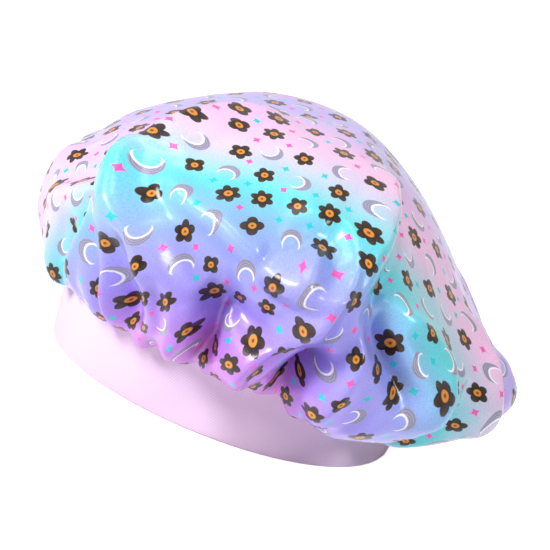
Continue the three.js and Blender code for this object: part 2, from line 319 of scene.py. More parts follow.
def new_material(name):
    material = bpy.data.materials.new(name)
    material.use_nodes = True
    material.node_tree.nodes.clear()
    return material, material.node_tree


def ombre(tree, across, colours):
    """The shaded ground of the print, from a distance across the cloth in millimetres."""
    share = add(tree, "ShaderNodeMath", {0: across, 1: OMBRE_REPEAT}, operation="DIVIDE")
    share = add(tree, "ShaderNodeMath", {0: share}, operation="FRACT")
    ramp = add(tree, "ShaderNodeValToRGB", {"Fac": share})
    ramp.color_ramp.interpolation = "B_SPLINE"
    stops = [(0.0, colours.lavender), (0.16, colours.lavender), (0.28, colours.pink), (0.36, colours.pink),
             (0.48, colours.aqua), (0.54, colours.aqua), (0.63, colours.periwinkle),
             (0.7, colours.periwinkle), (0.78, colours.lilac), (0.88, colours.magenta),
             (1.0, colours.lavender)]
    while len(ramp.color_ramp.elements) < len(stops):
        ramp.color_ramp.elements.new(0.5)
    for element, (at, value) in zip(ramp.color_ramp.elements, stops):
        element.position = at
        element.color = (*value, 1)
    return ramp


def motif_cells(tree, flat, shift):
    """Cells with one motif each: the place in the motif, its three chances, and whether the cell is odd."""
    moved = add(tree, "ShaderNodeVectorMath", {0: flat, 1: (shift, shift, 0)}, operation="ADD")
    cells = add(tree, "ShaderNodeTexVoronoi",
                {"Vector": moved, "Scale": 1 / MOTIF_SPACING, "Randomness": 0.22}, voronoi_dimensions="2D")
    centre = cells.outputs["Position"]
    local = add(tree, "ShaderNodeVectorMath", {0: moved, 1: centre}, operation="SUBTRACT")
    chance = add(tree, "ShaderNodeSeparateColor", {"Color": cells.outputs["Color"]})
    angle = add(tree, "ShaderNodeMath", {0: chance.outputs["Green"], 1: TURN}, operation="MULTIPLY")
    local = add(tree, "ShaderNodeVectorRotate", {"Vector": local, "Angle": angle}, rotation_type="Z_AXIS")
    # the cells take turns, as on a chessboard
    cell = add(tree, "ShaderNodeVectorMath", {0: centre, "Scale": 1 / MOTIF_SPACING}, operation="SCALE")
    cell = add(tree, "ShaderNodeVectorMath", {0: cell}, operation="FLOOR")
    cell = add(tree, "ShaderNodeVectorMath", {0: cell, 1: (0.5, 0.5, 0)}, operation="DOT_PRODUCT")
    cell = add(tree, "ShaderNodeMath", {0: cell}, operation="FRACT")
    odd = add(tree, "ShaderNodeMath", {0: cell, 1: 0.25}, operation="GREATER_THAN")
    return local, chance, odd


def inked(tree, reach, distance, bleed=INK_BLEED):
    """Where ink lies: 1 as long as a distance is less than its reach, 0 beyond, with a soft edge."""
    left = add(tree, "ShaderNodeMath", {0: reach, 1: distance}, operation="SUBTRACT")
    return add(tree, "ShaderNodeMapRange", {"Value": left, "From Min": -bleed / 2, "From Max": bleed / 2})


def layered(tree, ground, layers):
    """Inks laid over a ground one after another, each with the place that it covers."""
    for ink, where in layers:
        ground = add(tree, "ShaderNodeMix", {"Factor": where, 6: ground, 7: ink}, data_type="RGBA")
    return ground


def sparkles(tree, flat, colours):
    """Small sparkles with four points, between the motifs: their ink and where it lies."""
    local, chance, _ = motif_cells(tree, flat, MOTIF_SPACING / 2)
    local = add(tree, "ShaderNodeSeparateXYZ", {"Vector": local})
    arms = [add(tree, "ShaderNodeMath", {0: local.outputs[k]}, operation="ABSOLUTE") for k in (0, 1)]
    arms = [add(tree, "ShaderNodeMath", {0: arm, 1: 0.62}, operation="POWER") for arm in arms]
    reach = add(tree, "ShaderNodeMath", {0: arms[0], 1: arms[1]}, operation="ADD")
    inside = inked(tree, SPARKLE, reach, 0.25)
    few = add(tree, "ShaderNodeMath", {0: chance.outputs["Red"], 1: 0.85}, operation="LESS_THAN")
    rosy = add(tree, "ShaderNodeMath", {0: chance.outputs["Blue"], 1: 0.55}, operation="LESS_THAN")
    ink = layered(tree, (*colours.teal, 1), [((*colours.rose, 1), rosy)])
    return ink, add(tree, "ShaderNodeMath", {0: inside, 1: few}, operation="MULTIPLY")


def flowers(tree, local, radius, chance, colours):
    """Flowers of four, five or six petals: their ink and where it lies."""
    xyz = add(tree, "ShaderNodeSeparateXYZ", {"Vector": local})
    turn = add(tree, "ShaderNodeMath", {0: xyz.outputs[1], 1: xyz.outputs[0]}, operation="ARCTAN2")
    count = add(tree, "ShaderNodeMath", {0: chance.outputs["Blue"], 1: 2.99, 2: 4.0},
                operation="MULTIPLY_ADD")
    count = add(tree, "ShaderNodeMath", {0: count}, operation="FLOOR")
    count = add(tree, "ShaderNodeMath", {0: count, 1: 0.5}, operation="MULTIPLY")
    petals = add(tree, "ShaderNodeMath", {0: turn, 1: count}, operation="MULTIPLY")
    petals = add(tree, "ShaderNodeMath", {0: petals}, operation="COSINE")
    petals = add(tree, "ShaderNodeMath", {0: petals}, operation="ABSOLUTE")
    size = add(tree, "ShaderNodeMapRange", {"Value": chance.outputs["Blue"], "To Min": 0.7, "To Max": 0.9})
    scaled = add(tree, "ShaderNodeMath", {0: radius, 1: size}, operation="DIVIDE")
    rim = add(tree, "ShaderNodeMath", {0: petals, 1: PETAL_LENGTH, 2: PETAL_ROOT}, operation="MULTIPLY_ADD")
    where = inked(tree, rim, scaled)
    # the petals are paler towards their tips, and parted by dark lines
    tip = add(tree, "ShaderNodeMapRange", {"Value": scaled, "From Min": 2.2, "From Max": 6.5})
    tip = add(tree, "ShaderNodeMath", {0: tip, 1: petals}, operation="MULTIPLY")
    return layered(tree, (*colours.flower, 1), [
        ((*linear("#3E2C24"), 1), tip),
        ((*colours.amber, 1), inked(tree, HEART, scaled)),
        ((*linear("#7A3E12"), 1), inked(tree, PIP, scaled))]), where


def crescents(tree, local, radius, colours):
    """Crescents, each a disc less another, white along the hollow side: their ink and where it lies."""
    aside = add(tree, "ShaderNodeVectorMath", {0: local, 1: (HOLLOW_ASIDE, 0, 0)}, operation="SUBTRACT")
    aside = add(tree, "ShaderNodeVectorMath", {0: aside}, operation="LENGTH")
    body, bite = inked(tree, CRESCENT, radius), inked(tree, aside, HOLLOW)
    where = add(tree, "ShaderNodeMath", {0: body, 1: bite}, operation="MINIMUM")
    pale = inked(tree, HOLLOW + PALE_RIM, aside, 0.5)
    # fine lines, 1 mm apart
    lines = add(tree, "ShaderNodeMath", {0: radius, 1: 6.3}, operation="MULTIPLY")
    lines = add(tree, "ShaderNodeMath", {0: lines}, operation="SINE")
    lines = add(tree, "ShaderNodeMapRange",
                {"Value": lines, "From Min": -1.0, "From Max": 1.0, "To Max": 0.5})
    return layered(tree, (*colours.crescent, 1), [
        ((*linear("#B9B4CC"), 1), lines), ((*linear("#FBF8FF"), 1), pale)]), where


def printed(tree, colours):
    """The print on the satin: flowers and crescents of 10 to 15 mm, small sparkles between them."""
    flat = add(tree, "ShaderNodeUVMap", uv_map="cloth")
    flat = add(tree, "ShaderNodeVectorMath", {0: flat, 1: (-0.5, -0.5, 0)}, operation="ADD")
    flat = add(tree, "ShaderNodeVectorMath", {0: flat, "Scale": UV_SPAN}, operation="SCALE")
    warp = add(tree, "ShaderNodeTexNoise", {"Vector": flat, "Scale": 0.012, "Detail": 1.0})
    slant = add(tree, "ShaderNodeVectorMath", {0: flat, 1: (0.99, -0.15, 0)}, operation="DOT_PRODUCT")
    across = add(tree, "ShaderNodeMath", {0: warp, 1: OMBRE_SWAY, 2: slant}, operation="MULTIPLY_ADD")
    # ten repeats more keep the distance above zero
    across = add(tree, "ShaderNodeMath", {0: across, 1: OMBRE_START + 10 * OMBRE_REPEAT}, operation="ADD")

    local, chance, odd = motif_cells(tree, flat, 0)
    radius = add(tree, "ShaderNodeVectorMath", {0: local}, operation="LENGTH")
    often = add(tree, "ShaderNodeMath", {0: chance.outputs["Red"], 1: 0.22}, operation="GREATER_THAN")
    is_crescent = add(tree, "ShaderNodeMath", {0: odd, 1: often}, operation="MULTIPLY")
    is_flower = add(tree, "ShaderNodeMath", {0: 1.0, 1: is_crescent}, operation="SUBTRACT")
    grey, crescent = crescents(tree, local, radius, colours)
    brown, flower = flowers(tree, local, radius, chance, colours)
    ink = layered(tree, ombre(tree, across, colours), [
        sparkles(tree, flat, colours),
        (grey, add(tree, "ShaderNodeMath", {0: crescent, 1: is_crescent}, operation="MULTIPLY")),
        (brown, add(tree, "ShaderNodeMath", {0: flower, 1: is_flower}, operation="MULTIPLY"))])
    return ink, flat


def satin(name, colours, right_side=True):
    """Polyester satin, woven with long floats and printed. The floats give the right side its broad,
    stretched highlights; the wrong side is duller, and the print shows through it faintly."""
    material, tree = new_material(name)
    ink, flat = printed(tree, colours)
    # painted twinkle: floats of the weave, really 0.1 mm across, drawn 0.7 mm across as specks painted up to
    # a tenth lighter or darker
    grain = add(tree, "ShaderNodeMapping", {"Vector": flat, "Scale": (1.6, 1.2, 1)})
    grain = add(tree, "ShaderNodeTexNoise", {"Vector": grain, "Scale": 1.0, "Detail": 1.0})
    grain = add(tree, "ShaderNodeMapRange",
                {"Value": grain, "From Min": 0.3, "From Max": 0.7, "To Min": 0.9, "To Max": 1.1})
    # the print's colour takes the painted twinkle, lighter and darker speck by speck
    ink = add(tree, "ShaderNodeVectorMath", {0: ink, "Scale": grain}, operation="SCALE")
    # soft creases from washing and folding, 6 to 20 mm across
    crease = add(tree, "ShaderNodeTexNoise",
                 {"Vector": flat, "Scale": 0.075, "Detail": 2.0, "Distortion": 0.6})
    bump = add(tree, "ShaderNodeBump", {"Height": crease, "Strength": 0.3, "Distance": 0.0012})
    along = add(tree, "ShaderNodeTangent", direction_type="UV_MAP", uv_map="cloth")
    if right_side:
        sheen = {"Roughness": 0.4, "Anisotropic": 0.6, "Specular IOR Level": 1.0,
                 "Coat Weight": 0.5, "Coat Roughness": 0.17, "Coat Normal": bump}
    else:
        ink = layered(tree, ink, [((*linear("#F4EEF8"), 1), 0.55)])
        sheen = {"Roughness": 0.65, "Anisotropic": 0.2, "Specular IOR Level": 0.3}
    # the dyed yarn tints its broad sheen, and its smooth surface gives the narrow white lights
    surface = add(tree, "ShaderNodeBsdfPrincipled", {
        "Base Color": ink, "Specular Tint": ink, "Normal": bump, "IOR": 1.65, "Tangent": along, **sheen})
    add(tree, "ShaderNodeOutputMaterial", {"Surface": surface})
    return material


def jersey(name, colours):
    """Polyester jersey, knitted fine and brushed: matt, with slanting rows of stitches."""
    material, tree = new_material(name)
    place = add(tree, "ShaderNodeUVMap", uv_map="cloth")
    # stitches, really 0.6 mm wide, drawn 1.1 mm wide
    slant = add(tree, "ShaderNodeMapping", {"Vector": place, "Rotation": (0, 0, math.radians(28))})
    rows = add(tree, "ShaderNodeTexWave", {"Vector": slant, "Scale": TURN / (20 * 0.0011),
                                          "Distortion": 1.2, "Detail": 1.0, "Detail Scale": 2.0})
    # the brushed nap, in tufts of 1 mm
    fuzz = add(tree, "ShaderNodeTexNoise", {"Vector": place, "Scale": 900.0, "Detail": 3.0})
    tone = layered(tree, (*linear("#F3D5F3"), 1), [((*colours.band, 1), rows.outputs["Fac"])])
    bump = add(tree, "ShaderNodeBump", {"Height": rows.outputs["Fac"], "Strength": 0.3, "Distance": 0.0001})
    bump = add(tree, "ShaderNodeBump",
               {"Height": fuzz, "Strength": 0.25, "Distance": 0.0001, "Normal": bump})
    surface = add(tree, "ShaderNodeBsdfPrincipled", {
        "Base Color": tone, "Roughness": 0.85, "Normal": bump, "Sheen Weight": 0.3, "Sheen Roughness": 0.5,
        "Specular IOR Level": 0.3})
    add(tree, "ShaderNodeOutputMaterial", {"Surface": surface})
    return material


def yarn(name, dark, light, grain, depth, finish):
    """Matt yarn, whose strands show as a fine, uneven grain of two tones, with a depth in metres."""
    material, tree = new_material(name)
    place = add(tree, "ShaderNodeTexCoord")
    strands = add(tree, "ShaderNodeTexNoise", {"Vector": place.outputs["Object"], **grain})
    tone = layered(tree, (*linear(dark), 1), [((*linear(light), 1), strands)])
    bump = add(tree, "ShaderNodeBump", {"Height": strands, "Strength": 0.5, "Distance": depth})
    surface = add(tree, "ShaderNodeBsdfPrincipled", {"Base Color": tone, "Normal": bump, **finish})
    add(tree, "ShaderNodeOutputMaterial", {"Surface": surface})
    return material


class Section:
    """A smooth curve through points, read by the share of its length."""

    def __init__(self, points):
        self.points = np.array(points, float)
        self.share = np.linspace(0, 1, 401)
        steps = np.linalg.norm(np.diff(self.raw(self.share), axis=0), axis=1)
        self.way = np.concatenate([[0], np.cumsum(steps)]) / steps.sum()

    def raw(self, share):
        last = len(self.points) - 1
        place = np.clip(share * last, 0, last)
        i = np.minimum(place.astype(int), last - 1)
        w = (place - i)[..., None]
        before, start, end, after = (self.points[np.clip(i + k, 0, last)] for k in (-1, 0, 1, 2))
        leave, arrive = (end - before) / 2, (after - start) / 2
        return ((2 * start - 2 * end + leave + arrive) * w**3
                + (3 * end - 3 * start - 2 * leave - arrive) * w**2 + leave * w + start)

    def at(self, way):
        return self.raw(np.interp(way, self.way, self.share))


def section(half, reach, lower, upper, top):
    """A section of the crown from the band, half an opening from the middle, to the top."""
    half += BAND_FLARE + BAND_CLEARANCE
    shares = [(half, 0)] + [(half + out * (reach - half), up) for out, up in lower]
    shares += [(out * reach, up) for out, up in upper] + [(top, 1)]
    return Section([(out, SEAM_HEIGHT + up * CROWN_RISE) for out, up in shares])


BROW = section(HALF_LENGTH, BROW_REACH, BROW_LOWER, BROW_UPPER, -TOP_BEHIND)
EAR = section(HALF_WIDTH, EAR_REACH, EAR_LOWER, EAR_UPPER, 0)
NAPE = section(HALF_LENGTH, NAPE_REACH, NAPE_LOWER, NAPE_UPPER, TOP_BEHIND)


def smooth_crown(turn, way):
    """The crown with no folds: three sections blended round the head."""
    f, e, b = BROW.at(way), EAR.at(way), NAPE.at(way)
    c = np.cos(turn)
    ends = (f[..., 1] + b[..., 1]) / 4
    return np.stack([
        e[..., 0] * np.sin(turn) * (1 - OVAL_SHARE * c * (1 - way)),
        (b[..., 0] - f[..., 0]) / 2 - (b[..., 0] + f[..., 0]) / 2 * c,
        ends + e[..., 1] / 2 + (f[..., 1] - b[..., 1]) / 2 * c + (ends - e[..., 1] / 2) * np.cos(2 * turn),
    ], -1)


def outward(turn, way):
    """Directions away from the crown with no folds."""
    step = 0.004
    way = np.minimum(way, 1 - 2 * step)
    across = smooth_crown(turn + step, way) - smooth_crown(turn - step, way)
    along = smooth_crown(turn, way + step) - smooth_crown(turn, np.maximum(way - step, 0))
    found = np.cross(across, along)
    return found / np.linalg.norm(found, axis=-1, keepdims=True)


def folded_crown(turn, way):
    """The crown with its main folds, its directions outward, how firmly each place is held to the folds,
    and the height of their creases alone."""
    points, normals = smooth_crown(turn, way), outward(turn, way)
    lift, shift, grip = np.zeros(len(points)), np.zeros_like(points), np.zeros(len(points))
    crease = np.zeros(len(points))
    for height, width, lap, places in FOLDS:
        line = Section([(degrees, 100 * share) for degrees, share in places]).raw(np.linspace(0, 1, 81))
        line_turn, line_way = np.radians(line[:, 0]), line[:, 1] / 100
        middle, up = smooth_crown(line_turn, line_way), outward(line_turn, line_way)
        right = np.cross(np.gradient(middle, axis=0), up)
        right /= np.linalg.norm(right, axis=1)[:, None]
        away = np.linalg.norm(points[:, None] - middle[None], axis=2)
        nearest = away.argmin(1)
        away = away[np.arange(len(points)), nearest]
        side = ((points - middle[nearest]) * right[nearest]).sum(1)
        fade = np.sin(np.pi * (nearest + 0.5) / len(middle)) ** 0.5
        # a fold falls away straight from its crest, which is narrow in a valley and on a lap, and steeply
        # on a lap's low side
        crest = CREST if height < 0 or lap else max(CREST, 0.45 * width)
        slope = width * (1 - 0.75 * lap * np.tanh(side / CREST))
        fall = (np.sqrt(away**2 + crest**2) - crest) / slope
        lift += height * (np.exp(-1.3 * fall) * fade)
        if lap:
            # the cloth dips beside the low side, and the crest leans over it
            low = np.sign(lap) * side - 0.55 * width
            dip = np.exp(-(low / (0.5 * width)) ** 2 - fall**2 * 0.02)
            lift -= 0.45 * abs(lap) * height * dip * fade * (away < 3 * width)
            lean = np.exp(-(away / (0.6 * width)) ** 2) * fade * lap * abs(height) * 0.6
            shift += lean[:, None] * right[nearest]
        held = np.exp(-(away / (0.4 * width)) ** 2) * fade * (1 - np.exp(-abs(height) / 4))
        grip = np.maximum(grip, held)
        # valleys crease sharply, ridges a third as much
        sharp = 1 if height < 0 else 0.35
        narrow = np.exp(-(np.sqrt(away**2 + CREST**2) - CREST) / (1.2 + 0.28 * width))
        crease += sharp * height * narrow * fade
    # the folds grow out of the seam
    ease = np.clip(way / FOLD_EASE, 0, 1)
    ease = (ease**2 * (3 - 2 * ease))[:, None]
    return points + normals * lift[:, None] * ease + shift * ease, normals, grip, crease * ease[:, 0]


def gathered(turn, way, count, height, reach, salt):
    """Height of the uneven gathers that run up from the seam: round puffs between narrow creases."""
    chance = np.random.default_rng(salt)
    gaps = chance.uniform(0.5, 1.5, count)
    starts = np.concatenate([[0], np.cumsum(gaps)]) / gaps.sum() * TURN
    size, length = chance.uniform(0.5, 1.3, count) * gaps, chance.uniform(0.5, 1.5, count) * reach
    lean = chance.uniform(-0.25, 0.25, count)
    turn = np.mod(turn, TURN)
    k = np.clip(np.searchsorted(starts, turn, side="right") - 1, 0, count - 1)
    across = (turn - starts[k]) / (starts[k + 1] - starts[k])
    across = np.clip(across + lean[k] * across * (1 - across) * 2, 0, 1)
    fade = np.clip(way / 0.02, 0, 1) * np.exp(-(way / length[k]) ** 2)
    fade *= 0.4 + 0.6 * np.clip((1.1 + np.cos(turn)) / 0.5, 0, 1)  # the bag hides them at the nape
    return height * fade * (size[k] * np.sin(math.pi * across) ** 0.8 - 0.55)


def cloth_grid():
    """Turn and way of each vertex, and the faces, of the cloth from seam to top."""
    ways = np.concatenate([np.linspace(0, RING_CHANGE, LOWER_RINGS, endpoint=False),
                           np.linspace(RING_CHANGE, 1, UPPER_RINGS, endpoint=False)])
    counts = [COLUMNS if way < RING_CHANGE - 1e-6 else COLUMNS // 2 for way in ways]
    starts = np.concatenate([[0], np.cumsum(counts)])
    turn = np.concatenate([np.arange(n) * TURN / n for n in counts] + [[0.0]])
    way = np.concatenate([np.full(n, w) for n, w in zip(counts, ways)] + [[1.0]])
    faces = []
    for j, n in enumerate(counts):
        low = starts[j]
        if j + 1 == len(counts):
            faces += [(low + i, low + (i + 1) % n, starts[-1]) for i in range(n)]
            continue
        high, m = starts[j + 1], counts[j + 1]
        for i in range(m):
            if m == n:
                faces.append((low + i, low + (i + 1) % n, high + (i + 1) % n, high + i))
            else:
                a, b, c = low + 2 * i, low + 2 * i + 1, low + (2 * i + 2) % n
                faces += [(a, b, high + i), (b, high + (i + 1) % m, high + i), (b, c, high + (i + 1) % m)]
    return turn, way, [tuple(int(v) for v in face) for face in faces]


def image_axes():
    """The camera's right, up and backward directions, rolled as the photograph shows the bonnet."""
    azimuth, elevation, roll = math.radians(AZIMUTH), math.radians(ELEVATION), math.radians(ROLL)
    back = Vector((math.sin(azimuth) * math.cos(elevation), -math.cos(azimuth) * math.cos(elevation),
                   math.sin(elevation)))
    right = (-back).cross(Vector((0, 0, 1))).normalized()
    up = right.cross(-back)
    return (math.cos(roll) * right + math.sin(roll) * up,
            -math.sin(roll) * right + math.cos(roll) * up, back)


def inner_form():
    """A soft form inside the cloth, 12 mm from it near the seam and 6 mm from it above."""
    ways, turns = np.meshgrid(np.linspace(0.14, 0.99, FORM_RINGS),
                              np.arange(FORM_COLUMNS) * TURN / FORM_COLUMNS, indexing="ij")
    turns, ways = turns.ravel(), ways.ravel()
    inset = 12 - 6 * np.clip((ways - 0.22) / 0.22, 0, 1)
    folded, normals, _, _ = folded_crown(turns, ways)
    faces = []
    for start in range(0, (FORM_RINGS - 1) * FORM_COLUMNS, FORM_COLUMNS):
        for i in range(FORM_COLUMNS):
            j = (i + 1) % FORM_COLUMNS
            faces.append((start + i, start + j, start + FORM_COLUMNS + j, start + FORM_COLUMNS + i))
    form = mesh_piece("inner_form", (folded - normals * inset[:, None]) * MM, faces, [])
    form.modifiers.new("collision", "COLLISION")
    form.collision.thickness_outer = 0.002
    form.collision.cloth_friction = 8
    return form


def settled(way, faces, points, flat, grip):
    """The cloth after a short fall: it is held at the seam, round the top and along its main folds, air
    fills it, and a soft inner form stops it from sinking in."""
    scene = bpy.context.scene
    cloth = mesh_piece("falling_cloth", points * MM, faces, [])
    cloth.shape_key_add(name="hung")
    cut = cloth.shape_key_add(name="cut flat")
    level = np.column_stack([flat, np.zeros(len(flat))]) * MM
    cut.data.foreach_set("co", level.astype(np.float32).ravel())
    at_seam, at_top = np.clip(1.2 - way / 0.05, 0, 1), np.clip((way - 0.62) / 0.2, 0, 1)
    hold = np.maximum(np.maximum(at_seam, at_top), 0.7 * grip)
    group = cloth.vertex_groups.new(name="held")
    for i, weight in enumerate(hold):
        group.add([i], float(weight), "REPLACE")
    made = cloth.modifiers.new("cloth", "CLOTH")
    for name, value in CLOTH.items():
        setattr(made.settings, name, value)
    made.settings.vertex_group_mass = "held"
    made.settings.rest_shape_key = cut
    made.settings.effector_weights.gravity = GRAVITY_SHARE
    made.collision_settings.distance_min = 0.002
    made.collision_settings.collision_quality = 3
    form = inner_form()

    before = tuple(scene.gravity)
    scene.gravity = image_axes()[1] * -GRAVITY
    made.point_cache.frame_start, made.point_cache.frame_end = 1, 2 * SETTLING_FRAMES
    for frame_number in range(1, SETTLING_FRAMES + 1):
        scene.frame_set(frame_number)
    graph = bpy.context.evaluated_depsgraph_get()
    result = cloth.evaluated_get(graph).to_mesh()
    places = np.empty(3 * len(result.vertices))
    result.vertices.foreach_get("co", places)
    cloth.evaluated_get(graph).to_mesh_clear()
    scene.frame_set(1)
    scene.gravity = before
    for piece in (cloth, form):
        mesh = piece.data
        bpy.data.objects.remove(piece)
        bpy.data.meshes.remove(mesh)
    return places.reshape(-1, 3) / MM


class BONNET_OT_crown(bpy.types.Operator):
    """A circle of satin gathered into the seam, with its folds, gathers and turned-down raw edge"""
    bl_idname = "bonnet.crown"
    bl_label = "Crown"

    def execute(self, context):
        sizes, colours = context.scene.bonnet_sizes, context.scene.bonnet_colours
        turn, way, faces = cloth_grid()
        cut = sizes.cut_radius / MM
        radius = cut * (1 - way)
        flat = np.column_stack([radius * np.sin(turn), -radius * np.cos(turn)])
        points, normals, grip, crease = folded_crown(turn, way)
        gathers = gathered(turn, way, sizes.gathers, sizes.gather_height / MM, reach=0.17, salt=3)
        points += normals * gathers[:, None]
        grip[-1] = 1
        points = settled(way, faces, points, flat, grip)
        # the air rounds the folds, so their creases are pressed in again, with finer gathers
        crease = sizes.crease * crease + gathered(turn, way, count=64, height=2.2, reach=0.11, salt=7)
        points += normals * crease[:, None]
        # the raw edge turns over the band's top and down inside it, here as rows of the cloth, each with
        # its distance past the seam
        around = turn[:COLUMNS]
        ripple = 0.5 * np.sin(around * sizes.gathers) + 0.35 * np.sin(around * sizes.gathers * 1.7)
        inside = -BAND_WALL - PLAY
        raw_edge = flare(RAW_EDGE) + inside - 1.5 - 1.5 * ripple
        above = 0
        for past_seam, row in (
            (1, ring(around, flare(BAND_HEIGHT) - 0.5 * BAND_WALL, SEAM_HEIGHT + 0.5)),
            (2.5, ring(around, flare(BAND_HEIGHT) + inside - 0.7 - ripple, SEAM_HEIGHT - 0.4)),
            (SEAM_ALLOWANCE, ring(around, raw_edge, RAW_EDGE)),
        ):
            below = len(points)
            points = np.vstack([points, row])
            flat = np.vstack([flat, (cut + past_seam) * np.column_stack([np.sin(around), -np.cos(around)])])
            faces += [(below + i, below + (i + 1) % COLUMNS, above + (i + 1) % COLUMNS, above + i)
                      for i in range(COLUMNS)]
            above = below
        crown = mesh_piece("crown_cloth", points * MM, faces,
                           [satin("satin, printed, right side", colours),
                            satin("satin, printed, wrong side", colours, False)], uv=0.5 + flat / UV_SPAN)
        # the cloth is drawn round and gets its thickness inwards, where the wrong side shows
        rounding = crown.modifiers.new("rounding", "SUBSURF")
        rounding.levels = rounding.render_levels = 1
        cloth = crown.modifiers.new("thickness", "SOLIDIFY")
        cloth.thickness = sizes.cloth_thickness
        cloth.offset = -1
        cloth.material_offset = 1
        apply_modifiers(crown)
        # overlock thread over the raw edge: down its face and back under it, stitch after stitch
        count = int(RIM_LENGTH * MM / sizes.stitch)
        share = np.arange(4 * count) / 4
        step = np.arange(4 * count) % 4
        at = np.interp(share / count * TURN, np.append(around, TURN), np.append(ripple, ripple[0]))
        low = flare(RAW_EDGE) + inside - 1.5 - 1.5 * at
        places = ring(share / count * TURN, low - np.choose(step, [0.1, 0.5, 0.5, 0.5]),
                      RAW_EDGE + np.choose(step, [-0.5, 0.4, 4.0, 0.4]))
        # spun of short fibres: matt, a little furry, with the twist of its plies
        spun = yarn("spun polyester thread", "#E9C9EE", "#FFFFFF", {"Scale": 2600.0, "Detail": 1.0},
                    0.0001, {"Roughness": 0.6, "Sheen Weight": 0.3})
        stitches = tube("overlock_thread", places, 0.2, spun)
        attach(stitches, "root")
        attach(crown, "root")
        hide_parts("crown_panel")
        return {"FINISHED"}


def lathe(name, outline, columns, material, ripple=None):
    """A ring with one closed outline of (outside, z) in millimetres. The UV runs round it and along the
    outline, in metres."""
    outline = np.array(outline, float)
    turn = np.arange(columns) * TURN / columns
    outside = np.repeat(outline[None, :, 0], columns, 0)
    z = np.repeat(outline[None, :, 1], columns, 0)
    if ripple is not None:
        outside = outside + ripple(turn[:, None], z)
    points = ring(turn[:, None], outside, z).reshape(-1, 3)
    n = len(outline)
    faces = [(i * n + j, (i + 1) % columns * n + j, (i + 1) % columns * n + (j + 1) % n, i * n + (j + 1) % n)
             for i in range(columns) for j in range(n)]
    piece = mesh_piece(name, points * MM, faces, [material])
    sides = np.linalg.norm(np.diff(np.vstack([outline, outline[:1]]), axis=0), axis=1)
    length = np.concatenate([[0], np.cumsum(sides)])
    layer = piece.data.uv_layers.new(name="cloth")
    places = np.empty((len(faces), 4, 2), np.float32)
    around = RIM_LENGTH / columns
    for f in range(len(faces)):
        i, j = divmod(f, n)
        places[f] = [(i * around, length[j]), ((i + 1) * around, length[j]),
                     ((i + 1) * around, length[j + 1]), (i * around, length[j + 1])]
    layer.data.foreach_set("uv", (places * MM).ravel())
    return piece


def pulled(turn, z):
    """How far the band's faces stand out: the gathered seam draws its top edge into small waves, the strip
    is a little uneven, and its ends meet in a narrow groove."""
    top = np.clip((z - 24) / 12, 0, 1) ** 2
    away = (turn - JOIN) * HALF_WIDTH
    join = (z > 1) * (0.5 * np.tanh(away) * np.exp(-np.abs(away) / 6) - 1.2 * np.exp(-((away / 1.3) ** 2)))
    return (join + top * 0.35 * np.sin(64 * turn + 2 * np.sin(5 * turn))
            + 0.5 * np.sin(7 * turn + 1) * np.sin(np.pi * z / BAND_HEIGHT)
            + 0.25 * np.sin(13 * turn) * np.sin(np.pi * z / BAND_HEIGHT))


class BONNET_OT_band(bpy.types.Operator):
    """The jersey strip, folded double along the rim, with its elastic inside"""
    bl_idname = "bonnet.band"
    bl_label = "Band"

    def execute(self, context):
        colours = context.scene.bonnet_colours
        inner = -BAND_WALL
        heights = np.linspace(2, BAND_HEIGHT, 16)
        # round the rim, up the outer face, over its top edge, down and up the hollow, over the inner edge
        # and down the inner face
        outline = (
            [(inner + 2.2, 0), (-1.2, 0), (-0.35, 0.35), (0, 1.1)]
            + [(flare(z), z) for z in heights]
            + [(BAND_FLARE - 0.2, BAND_HEIGHT + 0.2), (BAND_FLARE - PLY, BAND_HEIGHT)]
            + [(flare(z) - PLY, z) for z in heights[-2:0:-3]]
            + [(flare(1.2) - PLY, 1.2), (-PLY - 0.4, PLY)]
            + [(inner + PLY + 0.4, PLY), (flare(1.2) + inner + PLY, 1.2)]
            + [(flare(z) + inner + PLY, z) for z in heights[1:-1:3]]
            + [(BAND_FLARE + inner + PLY, BAND_HEIGHT), (BAND_FLARE + inner + 0.2, BAND_HEIGHT + 0.2)]
            + [(flare(z) + inner, z) for z in heights[::-1]]
            + [(inner, 1.1), (inner + 0.35, 0.35)]
        )
        cover = lathe("band_cloth", outline, 384, jersey("polyester jersey, brushed", colours), pulled)
        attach(cover, "root")
        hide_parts("band_cover")

        low = PLY + PLAY
        zs = np.linspace(low, low + ELASTIC_WIDTH, 61)
        ribs = [0.12 * abs(math.sin(math.pi * (z - low) / BRAID_RIB)) for z in zs]
        outline = ([(flare(z) - PLY - PLAY - 0.14 + rib, z) for z, rib in zip(zs, ribs)]
                   + [(flare(z) - PLY - PLAY - ELASTIC + 0.14 - rib, z)
                      for z, rib in zip(zs[::-1], ribs[::-1])])
        # off-white polyester, braided round rubber: matt, with a plaited grain
        braid = yarn("braided elastic", "#E4DFD4", "#FBF8F0", {"Scale": 1400.0, "Detail": 2.0}, 0.0002,
                     {"Roughness": 0.8})
        elastic = lathe("braided_elastic", outline, 160, braid)
        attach(elastic, "root")
        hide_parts("band_elastic")
        return {"FINISHED"}


def looked_at(tree):
    """1 for the camera's rays and their reflections, 0 for the light that a thing sheds."""
    path = add(tree, "ShaderNodeLightPath")
    seen = add(tree, "ShaderNodeMath", {0: path.outputs["Is Camera Ray"], 1: path.outputs["Is Glossy Ray"]},
               operation="MAXIMUM")
    return add(tree, "ShaderNodeMath", {0: seen, 1: path.outputs["Is Transmission Ray"]},
               operation="MAXIMUM")


